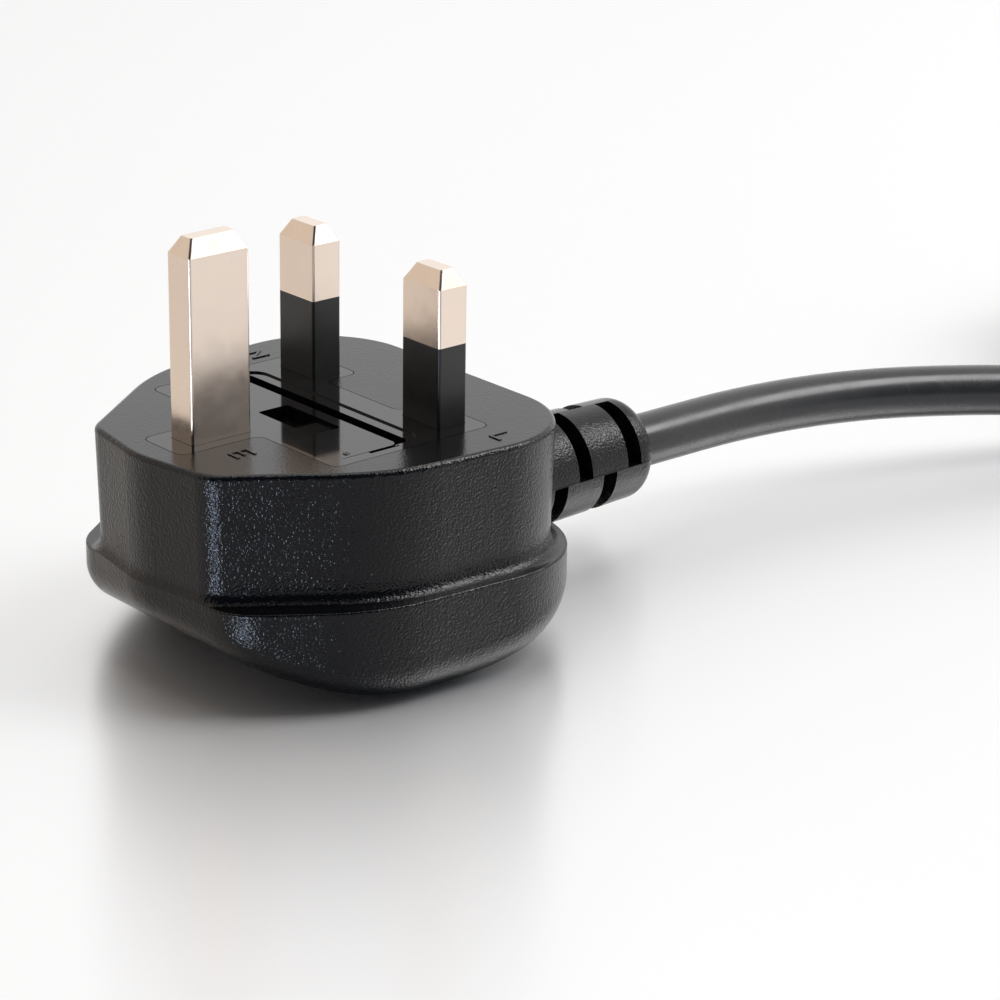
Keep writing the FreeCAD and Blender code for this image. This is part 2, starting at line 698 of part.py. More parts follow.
# Fuse carrier: a lid with a pull pocket and two cheeks that hold the fuse
carrier = new_body("fuse_carrier")
play = dim.carrier_play
block(carrier, "lid", aperture_floor, recess_floor, lambda k: rectangle(
    k, -dim.aperture_back + play, -dim.aperture_front - dim.carrier_gap,
    -dim.aperture_half_length + play, dim.aperture_half_length - play, dim.aperture_corner))
well(carrier, "pull", recess_floor, recess_floor - dim.pull_depth, lambda k: rectangle(
    k, -dim.pull_back, -dim.pull_front, -dim.pull_near, dim.pull_far, dim.pull_corner))
cheek_middle = dim.fuse_diameter / 2 + dim.cheek_gap + dim.cheek_wall / 2


def cheeks(sketch):
    for x in (fuse_x - cheek_middle, fuse_x + cheek_middle):
        centred(sketch, x, ZERO, dim.cheek_wall / 2, dim.cheek_half_length)


block(carrier, "cheeks", aperture_floor - dim.cheek_drop, aperture_floor, cheeks)

# Fuse: a ceramic tube between two metal caps
cap_bore = dim.fuse_diameter - dim.cap_wall * 2
fuse = new_body("fuse_tube")
barrel = new_sketch(fuse, "barrel", "XZ_Plane")
circle(barrel, fuse_x, dim.fuse_height, cap_bore - dim.cap_wall * 0.1)
pad(fuse, "barrel_pad", barrel, dim.fuse_length - dim.cap_wall * 2, Midplane=True)
half_fuse = dim.fuse_length / 2
for name, toward_near in (("line_fuse_cap", True), ("supply_fuse_cap", False)):
    cap = new_body(name)
    end = half_fuse if toward_near else -half_fuse
    mouth = half_fuse - dim.cap_length if toward_near else dim.cap_length - half_fuse
    disc = new_sketch(cap, "disc", "XZ_Plane", end)
    circle(disc, fuse_x, dim.fuse_height, dim.fuse_diameter)
    pad(cap, "disc_pad", disc, dim.cap_length, Reversed=toward_near)
    hollow = new_sketch(cap, "hollow", "XZ_Plane", mouth)
    circle(hollow, fuse_x, dim.fuse_height, cap_bore)
    pocket(cap, "hollow_cut", hollow, dim.cap_length - dim.cap_wall, Reversed=toward_near)


# Clips and terminals: folded strips that join the fuse, the pins and the cores
def add_clip(piece, station, foot):
    """A spring clip round one fuse cap, with a tab that reaches down through the bridge."""
    arm_in = dim.fuse_diameter / 2 + dim.clip_gap
    arm_out = arm_in + dim.clip_metal
    low, base = dim.chamber_floor, dim.chamber_floor + dim.clip_metal
    clip_top = dim.fuse_height + dim.clip_rise
    clip = new_sketch(piece, "clip", "XZ_Plane", -station)
    outline(clip, [
        (fuse_x - arm_out, low, None), (fuse_x + arm_out, low, None), (fuse_x + arm_out, clip_top, None),
        (fuse_x + arm_in, clip_top, None), (fuse_x + arm_in, base, None), (fuse_x - arm_in, base, None),
        (fuse_x - arm_in, clip_top, None), (fuse_x - arm_out, clip_top, None),
    ])
    pad(piece, "clip_pad", clip, dim.clip_width, Midplane=True)
    block(piece, "tab", foot, base,
          lambda k: centred(k, fuse_x, station, dim.tab_width / 2, dim.clip_metal / 2))


def add_barrel(piece, plane, across, height, near, far):
    """A crimp barrel along the plane's normal, between two offsets on it."""
    ring = new_sketch(piece, "barrel", plane, near)
    circle(ring, across, height, dim.barrel_diameter)
    pad(piece, "barrel_pad", ring, far - near)
    eye = new_sketch(piece, "eye", plane, far)
    circle(eye, across, height, dim.core_diameter + dim.core_clearance * 2)
    pocket(piece, "eye_cut", eye, far - near)


line_clip = new_body("line_fuse_clip")
add_clip(line_clip, -dim.clip_station, strap_low)
block(line_clip, "strap", strap_low, dim.tail_end, lambda k: rectangle(
    k, -dim.line_strap_back, dim.strap_front, -dim.line_strap_station - dim.strap_half_width,
    -dim.line_strap_station + dim.strap_half_width))

line_end = new_body("line_terminal")
barrel_top = high_core + dim.barrel_diameter / 2 + dim.line_strap_cover
crown = high_core + dim.core_diameter / 2 + dim.core_clearance + dim.line_strap_seat
add_barrel(line_end, "XZ_Plane", fuse_x, high_core, -dim.line_barrel_start - dim.barrel_length,
           -dim.line_barrel_start)
block(line_end, "strap", crown, barrel_top, lambda k: rectangle(
    k, fuse_x - dim.tab_width / 2, fuse_x + dim.tab_width / 2, dim.line_barrel_start,
    dim.clip_station + dim.clip_metal / 2))
add_clip(line_end, dim.clip_station, crown)

neutral_end = new_body("neutral_terminal")
neutral_x = -dim.neutral_barrel_offset
add_barrel(neutral_end, "XZ_Plane", neutral_x, low_cores, -dim.neutral_barrel_start - dim.barrel_length,
           -dim.neutral_barrel_start)
block(neutral_end, "strap", strap_low, dim.tail_end, lambda k: rectangle(
    k, -dim.neutral_strap_back, dim.strap_front, dim.line_strap_station - dim.strap_half_width,
    dim.line_strap_station + dim.strap_half_width))

earth_end = new_body("earth_terminal")
add_barrel(earth_end, "YZ_Plane", -dim.core_side, low_cores, -dim.earth_barrel_start - dim.barrel_length,
           -dim.earth_barrel_start)
block(earth_end, "strap", strap_low, dim.tail_end, lambda k: rectangle(
    k, -dim.earth_strap_back, -dim.earth_strap_front, -dim.strap_half_width, dim.strap_half_width))


# Cores between the sheath's end and the terminals
def add_core(label, side, height, turn_x, end_y):
    """A core that runs back from the sheath and turns towards +Y into its barrel."""
    core = new_body(label)
    bend = dim.core_bend
    path = new_sketch(core, "path", "XY_Plane", height)
    start = Vector(dim.sheath_end.value, side.value, 0)
    corner = Vector(turn_x.value, side.value, 0)
    entry = corner + Vector(bend.value, 0, 0)
    leaving = corner + Vector(0, bend.value, 0)
    centre = corner + Vector(bend.value, bend.value, 0)
    run = path.addGeometry(Part.LineSegment(start, entry))
    arc = path.addGeometry(Part.ArcOfCircle(Part.Circle(centre, UP, bend.value), math.pi, 1.5 * math.pi))
    rise = path.addGeometry(Part.LineSegment(leaving, Vector(turn_x.value, end_y.value, 0)))
    constrain(path, "Tangent", run, 2, arc, 2)
    constrain(path, "Tangent", arc, 1, rise, 1)
    constrain(path, "Horizontal", run)
    constrain(path, "Vertical", rise)
    constrain(path, "Radius", arc, size=bend)
    constrain(path, "DistanceX", -1, 1, run, 1, size=dim.sheath_end)
    constrain(path, "DistanceY", -1, 1, run, 1, size=side)
    constrain(path, "DistanceX", -1, 1, rise, 2, size=turn_x)
    constrain(path, "DistanceY", -1, 1, rise, 2, size=end_y)
    section = new_sketch(core, "section", "YZ_Plane", dim.sheath_end)
    circle(section, side, height, dim.core_diameter)
    feature(core, "AdditivePipe", "sweep", section, Spine=(path, ["Edge1", "Edge2", "Edge3"]))


add_core("neutral_core", dim.core_side, low_cores, neutral_x, dim.neutral_barrel_start + dim.core_grip)
add_core("line_core", ZERO, high_core, fuse_x, dim.line_barrel_start + dim.core_grip)
earth_core = new_body("earth_core")
section = new_sketch(earth_core, "section", "YZ_Plane", dim.sheath_end)
circle(section, -dim.core_side, low_cores, dim.core_diameter)
pad(earth_core, "run_pad", section, dim.sheath_end + dim.earth_barrel_start + dim.core_grip, Reversed=True)


# Cord: swept along straight runs with tangent arcs
def tube(label, points, diameter):
    """A round tube along straight runs joined by tangent arcs, as one closed solid."""
    spots = [Vector(*point) for point in points]
    edges = []
    start = spots[0]
    for before, here, after in zip(spots, spots[1:], spots[2:]):
        back, ahead = (before - here), (after - here)
        reach = 0.45 * min(back.Length, ahead.Length)
        back.normalize()
        ahead.normalize()
        half = back.getAngle(ahead) / 2
        radius = reach * math.tan(half)
        entry, leaving = here + back * reach, here + ahead * reach
        middle = here + (back + ahead).normalize() * (radius / math.sin(half) - radius)
        edges.append(Part.LineSegment(start, entry).toShape())
        edges.append(Part.Arc(entry, middle, leaving).toShape())
        print(f"{label}: turn {180 - 2 * math.degrees(half):.1f} degrees, radius {radius:.0f} mm")
        start = leaving
    edges.append(Part.LineSegment(start, spots[-1]).toShape())
    path = Part.Wire(edges)
    ring = Part.Wire(Part.Circle(spots[0], spots[1] - spots[0], diameter / 2).toShape())
    solid = path.makePipeShell([ring], True, False)
    expected = math.pi * diameter ** 2 / 4 * path.Length
    share = solid.Volume / expected
    print(f"{label}: length {path.Length:.1f} mm, volume {share:.4f} of section by length")
    piece = doc.addObject("Part::Feature", label)
    piece.Label = label
    piece.Shape = solid
    pieces.append(piece)
    return piece


centre_line = dim.cord_height.value
datum_x = datum_shift.value
hank_floor = dim.hank_bottom.value + dim.cord_diameter.value / 2
outer_turn = dim.hank_side + dim.hank_inner_radius + dim.hank_turn_pitch
tube("cord_tube", [
    (datum_x + dim.sheath_end.value, 0, centre_line),
    (31.5, 0, centre_line),
    (66.0, 0.0, 11.3),
    (96.5, -10.0, 9.0),
    (128.5, -27.8, 4.9),
    (155.5, -outer_turn.value, hank_floor),
], dim.cord_diameter.value)

# Put-away length: an oval hank of six turns, held by two ties, with the bare end on top
hank = new_body("cord_hank", on_datum=False)


def racetrack(sketch, radius):
    """Two half circles joined by straight sides."""
    near, far, side = dim.hank_near, dim.hank_far, -dim.hank_side
    near_centre, far_centre = Vector(near.value, side.value, 0), Vector(far.value, side.value, 0)
    up = Vector(0, radius.value, 0)
    half = math.pi / 2
    left = sketch.addGeometry(Part.ArcOfCircle(Part.Circle(near_centre, UP, radius.value), half, 3 * half))
    right = sketch.addGeometry(Part.ArcOfCircle(Part.Circle(far_centre, UP, radius.value), -half, half))
    top = sketch.addGeometry(Part.LineSegment(far_centre + up, near_centre + up))
    bottom = sketch.addGeometry(Part.LineSegment(near_centre - up, far_centre - up))
    constrain(sketch, "Tangent", top, 2, left, 1)
    constrain(sketch, "Tangent", left, 2, bottom, 1)
    constrain(sketch, "Tangent", bottom, 2, right, 1)
    constrain(sketch, "Tangent", right, 2, top, 1)
    constrain(sketch, "Radius", left, size=radius)
    for arc, x in ((left, near), (right, far)):
        constrain(sketch, "DistanceX", -1, 1, arc, 3, size=x)
    constrain(sketch, "DistanceY", -1, 1, left, 3, size=side)


cord_radius = dim.cord_diameter / 2
hank_height = dim.cord_diameter * dim.hank_layers
hank_top = dim.hank_bottom + hank_height
block(hank, "turns", dim.hank_bottom, hank_top,
      lambda k: racetrack(k, dim.hank_inner_radius + dim.hank_turn_pitch + cord_radius))
well(hank, "eye", hank_top, dim.hank_bottom, lambda k: racetrack(k, dim.hank_inner_radius - cord_radius))
round_edges(hank, "softened", dim.hank_rounding,
            lambda edge: lies_at(edge, dim.hank_bottom) or lies_at(edge, hank_top))

bundle = dim.hank_inner_radius + dim.hank_turn_pitch / 2
bundle_half = dim.hank_turn_pitch / 2 + cord_radius
near_bundle, far_bundle = -dim.hank_side - bundle, bundle - dim.hank_side
for label, station, middle, top in (("near_cord_tie", dim.tie_station, near_bundle, hank_top),
                                    ("far_cord_tie", dim.tail_tie_station, far_bundle,
                                     hank_top + dim.cord_diameter)):
    tie = new_body(label, on_datum=False)
    gap = dim.tie_clearance
    rim = gap + dim.tie_metal
    band = new_sketch(tie, "band", "YZ_Plane", station)
    rectangle(band, middle - bundle_half - rim, middle + bundle_half + rim, dim.hank_bottom - rim,
              top + rim, dim.hank_rounding)
    rectangle(band, middle - bundle_half - gap, middle + bundle_half + gap, dim.hank_bottom - gap,
              top + gap, dim.hank_rounding - dim.tie_metal)
    pad(tie, "band_pad", band, dim.tie_width, Midplane=True)

tail = new_body("cord_tail", on_datum=False)
tail_height = hank_top + cord_radius
section = new_sketch(tail, "section", "YZ_Plane", dim.tail_start)
circle(section, far_bundle, tail_height, dim.cord_diameter)
pad(tail, "run_pad", section, dim.tail_length, Reversed=True)

tail_x = (dim.tail_start - dim.tail_length).value
core_end = tail_x - dim.end_core_length.value
core_low = (hank_top + dim.ferrule_diameter / 2).value
for name, column, rise in (("line", 0, dim.core_rise), ("neutral", 1, -dim.core_drop),
                           ("earth", -1, -dim.core_drop)):
    start_y = far_bundle.value + column * dim.core_side.value
    lane_y = far_bundle.value + column * dim.end_core_spread.value
    tube(f"{name}_end_core", [
        (tail_x - dim.end_core_gap.value, start_y, (tail_height + rise).value),
        (tail_x - 18.0, lane_y, core_low),
        (core_end, lane_y, core_low + 0.01),
    ], dim.core_diameter.value)
    ferrule = new_body(f"{name}_ferrule", on_datum=False)
    lane = far_bundle + dim.end_core_spread * column
    collar_start = dim.tail_start - dim.tail_length - dim.end_core_length
    collar = new_sketch(ferrule, "collar", "YZ_Plane", collar_start)
    circle(collar, lane, hank_top + dim.ferrule_diameter / 2, dim.ferrule_diameter)
    pad(ferrule, "collar_pad", collar, dim.ferrule_collar, Reversed=True)
    tip = new_sketch(ferrule, "tip", "YZ_Plane", collar_start - dim.ferrule_collar)
    circle(tip, lane, hank_top + dim.ferrule_diameter / 2, dim.ferrule_tip_diameter)
    pad(ferrule, "tip_pad", tip, dim.ferrule_length - dim.ferrule_collar, Reversed=True)

# Every piece is checked, then written
doc.recompute()
faults = [thing.Name for thing in doc.Objects if {"Invalid", "Error"} & set(thing.State)]
faults += [piece.Label for piece in pieces if piece.Shape.isNull() or not piece.Shape.isValid()]
if faults:
    raise ValueError(f"not built: {faults}")
os.makedirs("parts", exist_ok=True)
for piece in pieces:
    piece.Shape.exportStep(f"parts/{piece.Label}.step")
    print(f"{piece.Label}: {piece.Shape.Volume:.0f} mm3, {len(piece.Shape.Solids)} solid")
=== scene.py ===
import math
import bpy
import bmesh
from mathutils import Matrix, Vector


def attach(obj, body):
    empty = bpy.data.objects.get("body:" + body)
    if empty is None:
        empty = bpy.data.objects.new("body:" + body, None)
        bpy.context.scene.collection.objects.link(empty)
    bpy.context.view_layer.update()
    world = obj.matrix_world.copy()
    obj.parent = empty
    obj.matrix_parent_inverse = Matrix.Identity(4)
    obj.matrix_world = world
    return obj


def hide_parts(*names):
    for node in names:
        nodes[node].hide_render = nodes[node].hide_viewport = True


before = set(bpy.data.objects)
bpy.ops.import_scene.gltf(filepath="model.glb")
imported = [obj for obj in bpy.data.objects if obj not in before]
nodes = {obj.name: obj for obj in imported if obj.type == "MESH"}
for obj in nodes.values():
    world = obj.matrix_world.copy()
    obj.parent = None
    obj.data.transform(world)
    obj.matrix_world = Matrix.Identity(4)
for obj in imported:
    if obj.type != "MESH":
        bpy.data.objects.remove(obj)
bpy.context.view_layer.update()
scene = bpy.context.scene
mm = 0.001
datumX = -3.5  # the pins' middle lies this far from the origin, in mm
faceHeight = 26.5  # pin face above the table, in mm


def linkPiece(name, data, body="plug"):
    piece = bpy.data.objects.new(name, data)
    scene.collection.objects.link(piece)
    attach(piece, body)
    return piece


def meshData(name, mesh):
    data = bpy.data.meshes.new(name)
    mesh.to_mesh(data)
    mesh.free()
    return data


# camera, fitted to the three pins in the photo
view = {
    "eye": (-0.2211, -0.2700, 0.1440),
    "turn": -41.31,
    "rise": 20.58,
    "roll": 0.91,
    "lens": 116.7,
    "sensor": 36.0,
    "clip": 0.01,
}


def placeCamera():
    turn, rise, roll = (math.radians(view[k]) for k in ("turn", "rise", "roll"))
    right = Vector((math.cos(turn), math.sin(turn), 0))
    back = Vector((math.sin(turn) * math.cos(rise), -math.cos(turn) * math.cos(rise), math.sin(rise)))
    up = back.cross(right)
    rolledRight = right * math.cos(roll) + up * math.sin(roll)
    rolledUp = up * math.cos(roll) - right * math.sin(roll)
    lens = bpy.data.cameras.new("photoCamera")
    lens.lens = view["lens"]
    lens.sensor_width = view["sensor"]
    lens.clip_start = view["clip"]
    camera = bpy.data.objects.new("photoCamera", lens)
    scene.collection.objects.link(camera)
    turnBy = Matrix((rolledRight, rolledUp, back)).transposed().to_4x4()
    camera.matrix_world = Matrix.Translation(view["eye"]) @ turnBy
    scene.camera = camera


placeCamera()
print("camera placed")

# lead: straight out of the strain relief, down to the table, then a put-away hank
lead = {
    "diameter": 0.0066,  # metres, and so are the length and the exit
    "length": 1.8,
    "exit": (0.0122, 0.0, 0.01155),
    # from here on in mm
    "route": [(-3.3, 0, 11.55), (31.5, 0, 11.55), (66.0, 0, 11.3), (96.5, -10, 9.0), (128.5, -27.8, 4.9)],
    "hankNear": 154.5,
    "hankFar": 229.5,
    "hankSide": -5.0,
    "straightInset": 10,
    "farAngles": (-75, -45, -15, 15, 45, 75),
    "nearAngles": (105, 135, 165, 195, 225, 255),
    "inner": 19.8,
    "outer": 26.6,
    "layers": (3.9, 10.5, 17.1),
    "topRadius": 23.2,
    "topHeight": 23.7,
    # stations between which each turn moves over to its next place
    "moves": [(15.0, 18.0), (13.0, 16.0), (11.5, 14.0), (10.0, 12.5), (8.5, 11.0), (3.0, 8.5)],
    "endX": 205.5,
    "endGap": 5,
    "spanSteps": 10,
    "roundSteps": 8,
    "onIt": ("near_cord_tie", "far_cord_tie", "line_end_core", "neutral_end_core", "earth_end_core",
             "line_ferrule", "neutral_ferrule", "earth_ferrule"),
}


def hankStations():
    # one turn of the oval: a middle and an outward heading at each station
    near, far, side = lead["hankNear"], lead["hankFar"], lead["hankSide"]
    straight = (near + lead["straightInset"], (near + far) / 2, far - lead["straightInset"])

    def bend(middle, angles):
        return [((middle, side), (math.cos(math.radians(a)), math.sin(math.radians(a)))) for a in angles]

    out = [((x, side), (0, -1)) for x in straight]
    back = [((x, side), (0, 1)) for x in reversed(straight)]
    return out + bend(far, lead["farAngles"]) + back + bend(near, lead["nearAngles"])


def leadPoints():
    inner, outer = lead["inner"], lead["outer"]
    low, mid, high = lead["layers"]
    slots = [(outer, low), (inner, low), (inner, mid), (outer, mid), (outer, high), (inner, high),
             (lead["topRadius"], lead["topHeight"])]
    stations = hankStations()
    lastTurn = len(lead["moves"]) - 1
    points = list(lead["route"])
    for turn, (start, end) in enumerate(lead["moves"]):
        (radius, height), (nextRadius, nextHeight) = slots[turn], slots[turn + 1]
        for index, ((middleX, middleY), (outX, outY)) in enumerate(stations):
            share = min(1.0, max(0.0, (index - start) / (end - start)))
            share = share * share * (3 - 2 * share)
            reach = radius + (nextRadius - radius) * share
            x = middleX + reach * outX
            returning = index >= len(stations) // 2
            if turn == lastTurn and returning and x < lead["endX"] + lead["endGap"]:
                break
            points.append((x, middleY + reach * outY, height + (nextHeight - height) * share))
    points.append((lead["endX"], lead["hankSide"] + lead["topRadius"], lead["topHeight"]))
    return [Vector(p) * mm for p in points]


def makeLead():
    curve = bpy.data.curves.new("lead", "CURVE")
    curve.dimensions = "3D"
    points = leadPoints()
    spline = curve.splines.new("NURBS")
    spline.points.add(len(points) - 1)
    for point, place in zip(spline.points, points):
        point.co = (*place, 1.0)
        point.radius = lead["diameter"] / 2  # half the width stands here, so the curve's own box stays tight
    spline.order_u = 3
    spline.use_endpoint_u = True
    spline.resolution_u = lead["spanSteps"]
    curve.bevel_depth = 1.0
    curve.bevel_resolution = lead["roundSteps"]
    curve.use_fill_caps = True
    piece = linkPiece("lead", curve)
    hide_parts("cord_tube", "cord_hank", "cord_tail")
    return piece


leadPiece = makeLead()
print("lead laid")


# materials: small helpers, then a dictionary and a function for each kind of finish
softDetail = 4.0  # octaves in the broad clouds
fineDetail = 2.0  # and in the fine grain


def startMaterial(name):
    material = bpy.data.materials.new(name)
    material.use_nodes = True
    tree = material.node_tree
    return material, tree, tree.nodes["Principled BSDF"]


def addNode(tree, kind, **settings):
    node = tree.nodes.new(kind)
    for key, value in settings.items():
        if key in node.inputs:
            node.inputs[key].default_value = value
        else:
            setattr(node, key, value)
    return node


def objectSpace(tree, scale=(1, 1, 1)):
    place = addNode(tree, "ShaderNodeTexCoord")
    stretch = addNode(tree, "ShaderNodeMapping", Scale=scale)
    tree.links.new(place.outputs["Object"], stretch.inputs["Vector"])
    return stretch.outputs["Vector"]


def noiseOn(tree, vector, scale, detail, rough=0.55):
    noise = addNode(tree, "ShaderNodeTexNoise", Scale=scale, Detail=detail, Roughness=rough)
    tree.links.new(vector, noise.inputs["Vector"])
    return noise.outputs["Fac"]


def ranged(tree, value, low, high, fromLow=0.3, fromHigh=0.7):
    node = addNode(tree, "ShaderNodeMapRange")
    node.inputs["From Min"].default_value = fromLow
    node.inputs["From Max"].default_value = fromHigh
    node.inputs["To Min"].default_value = low
    node.inputs["To Max"].default_value = high
    tree.links.new(value, node.inputs["Value"])
    return node.outputs["Result"]


def blendColours(tree, factor, first, second):
    # each colour is a tuple or another node's socket
    mix = addNode(tree, "ShaderNodeMix", data_type="RGBA")
    colours = [s for s in mix.inputs if s.type == "RGBA"]
    for socket, colour in zip(colours, (first, second)):
        if isinstance(colour, tuple):
            socket.default_value = (*colour, 1)
        else:
            tree.links.new(colour, socket)
    tree.links.new(factor, mix.inputs["Factor"])
    return [s for s in mix.outputs if s.type == "RGBA"][0]


def bumpFrom(tree, height, strength, distance, before=None):
    bump = addNode(tree, "ShaderNodeBump", Strength=strength, Distance=distance)
    tree.links.new(height, bump.inputs["Height"])
    if before is not None:
        tree.links.new(before, bump.inputs["Normal"])
    return bump.outputs["Normal"]


def cloudOver(tree, shader, cloud, finish):
    # one soft noise drives both the colour and the gloss
    tree.links.new(blendColours(tree, cloud, finish["dark"], finish["light"]), shader.inputs["Base Color"])
    tree.links.new(ranged(tree, cloud, finish["roughLow"], finish["roughHigh"]), shader.inputs["Roughness"])


def dress(names, material):
    for name in names:
        for holder in nodes[name].material_slots:
            holder.material = material


bodyFinish = {
    "dark": (0.0025, 0.0028, 0.0037),
    "light": (0.0044, 0.0047, 0.0060),
    "specular": 0.34,
    "patchScale": 160,
    "grainScale": 3500,
    "grainDetail": 1.0,
    "grainRough": 0.5,
    "grainStrength": 1.0,
    "grainDepth": 0.000092,
    "faceGrain": 0.22,  # share of the grain that is left on the smoother pin face
    "faceFrom": 0.8,
    "faceFull": 0.97,
    "roughLow": 0.15,
    "roughHigh": 0.22,
}


def makeBodyFinish():
    material, tree, shader = startMaterial("sparkGrainBlack")
    space = objectSpace(tree)
    grain = noiseOn(tree, space, bodyFinish["grainScale"], bodyFinish["grainDetail"], bodyFinish["grainRough"])
    patches = noiseOn(tree, space, bodyFinish["patchScale"], softDetail)
    geometry = addNode(tree, "ShaderNodeNewGeometry")
    split = addNode(tree, "ShaderNodeSeparateXYZ")
    tree.links.new(geometry.outputs["Normal"], split.inputs["Vector"])
    wall = ranged(tree, split.outputs["Z"], 1.0, bodyFinish["faceGrain"], bodyFinish["faceFrom"],
                  bodyFinish["faceFull"])
    height = addNode(tree, "ShaderNodeMath", operation="MULTIPLY")
    tree.links.new(grain, height.inputs[0])
    tree.links.new(wall, height.inputs[1])
    cloudOver(tree, shader, patches, bodyFinish)
    shader.inputs["Specular IOR Level"].default_value = bodyFinish["specular"]
    relief = bumpFrom(tree, height.outputs[0], bodyFinish["grainStrength"], bodyFinish["grainDepth"])
    tree.links.new(relief, shader.inputs["Normal"])
    return material


pinFinish = {
    "dark": (0.77, 0.65, 0.555),
    "light": (0.84, 0.72, 0.625),
    "roughLow": 0.18,
    "roughHigh": 0.28,
    "blotchScale": 420,
    "blotchDetail": 5.0,
    "streakScale": 3600,
    "streakStretch": (1, 1, 0.05),
    "streakStrength": 0.10,
    "pitScale": 5200,
    "pitStrength": 0.08,
    "depth": 0.00002,
}


def makePinFinish():
    material, tree, shader = startMaterial("satinNickelPins")
    space = objectSpace(tree)
    streaks = noiseOn(tree, objectSpace(tree, pinFinish["streakStretch"]), pinFinish["streakScale"], fineDetail)
    pits = noiseOn(tree, space, pinFinish["pitScale"], fineDetail)
    shader.inputs["Metallic"].default_value = 1.0
    cloudOver(tree, shader, noiseOn(tree, space, pinFinish["blotchScale"], pinFinish["blotchDetail"]), pinFinish)
    drawn = bumpFrom(tree, streaks, pinFinish["streakStrength"], pinFinish["depth"])
    pitted = bumpFrom(tree, pits, pinFinish["pitStrength"], pinFinish["depth"], drawn)
    tree.links.new(pitted, shader.inputs["Normal"])
    return material


tieFinish = {
    "dark": (0.011, 0.011, 0.0115),
    "light": (0.021, 0.021, 0.022),
    "roughLow": 0.42,
    "roughHigh": 0.58,
    "cloudScale": 400,
    "ribScale": 420,
    "ribStrength": 0.5,
    "ribDepth": 0.00015,
    "fuzzScale": 3200,
    "fuzzStrength": 0.1,
    "fuzzDepth": 0.00003,
}


def makeTieFinish():
    # woven strap with fine ribs round it
    material, tree, shader = startMaterial("ribbedTie")
    space = objectSpace(tree)
    ribs = addNode(tree, "ShaderNodeTexWave", wave_type="BANDS", bands_direction="X", Scale=tieFinish["ribScale"])
    tree.links.new(space, ribs.inputs["Vector"])
    cloudOver(tree, shader, noiseOn(tree, space, tieFinish["cloudScale"], softDetail), tieFinish)
    ribbed = bumpFrom(tree, ribs.outputs["Fac"], tieFinish["ribStrength"], tieFinish["ribDepth"])
    fuzz = noiseOn(tree, space, tieFinish["fuzzScale"], fineDetail)
    woven = bumpFrom(tree, fuzz, tieFinish["fuzzStrength"], tieFinish["fuzzDepth"], ribbed)
    tree.links.new(woven, shader.inputs["Normal"])
    return material


stripedCore = {
    "green": (0.03, 0.22, 0.03),
    "yellow": (0.75, 0.6, 0.02),
    "stripeScale": 520,
    "waver": 0.4,
    "edge": (0.45, 0.55),
    "rough": 0.32,
    "bumpScale": 2400,
    "bumpStrength": 0.06,
    "bumpDepth": 0.00002,
}


def makeStripedCore():
    material, tree, shader = startMaterial("greenYellowCore")
    space = objectSpace(tree)
    wave = addNode(tree, "ShaderNodeTexWave", wave_type="BANDS", bands_direction="Y",
                   Scale=stripedCore["stripeScale"], Distortion=stripedCore["waver"])
    tree.links.new(space, wave.inputs["Vector"])
    stripe = ranged(tree, wave.outputs["Fac"], 0.0, 1.0, *stripedCore["edge"])
    colour = blendColours(tree, stripe, stripedCore["green"], stripedCore["yellow"])
    tree.links.new(colour, shader.inputs["Base Color"])
    shader.inputs["Roughness"].default_value = stripedCore["rough"]
    skin = noiseOn(tree, space, stripedCore["bumpScale"], fineDetail)
    tree.links.new(bumpFrom(tree, skin, stripedCore["bumpStrength"], stripedCore["bumpDepth"]),
                   shader.inputs["Normal"])
    return material


ferruleFinish = {
    "collarFrom": 0.166,  # x where the collar begins, in metres
    "collarEdge": 0.0001,
    "collar": (0.62, 0.62, 0.6),
    "tip": (0.72, 0.72, 0.7),
    "roughLow": 0.25,
    "roughHigh": 0.42,
    "cloudScale": 900,
    "bumpScale": 3000,
    "bumpStrength": 0.08,
    "bumpDepth": 0.00002,
}


def makeFerruleFinish():
    # plastic collar behind, tinned tube in front
    material, tree, shader = startMaterial("ferrule")
    space = objectSpace(tree)
    split = addNode(tree, "ShaderNodeSeparateXYZ")
    tree.links.new(space, split.inputs["Vector"])
    start = ferruleFinish["collarFrom"]
    collar = ranged(tree, split.outputs["X"], 0.0, 1.0, start - ferruleFinish["collarEdge"], start)
    metal = ranged(tree, collar, 1.0, 0.0, 0.0, 1.0)
    colour = blendColours(tree, collar, ferruleFinish["tip"], ferruleFinish["collar"])
    tree.links.new(colour, shader.inputs["Base Color"])
    tree.links.new(metal, shader.inputs["Metallic"])
    cloud = noiseOn(tree, space, ferruleFinish["cloudScale"], softDetail)
    rough = ranged(tree, cloud, ferruleFinish["roughLow"], ferruleFinish["roughHigh"])
    tree.links.new(rough, shader.inputs["Roughness"])
    skin = noiseOn(tree, space, ferruleFinish["bumpScale"], fineDetail)
    tree.links.new(bumpFrom(tree, skin, ferruleFinish["bumpStrength"], ferruleFinish["bumpDepth"]),
                   shader.inputs["Normal"])
    return material


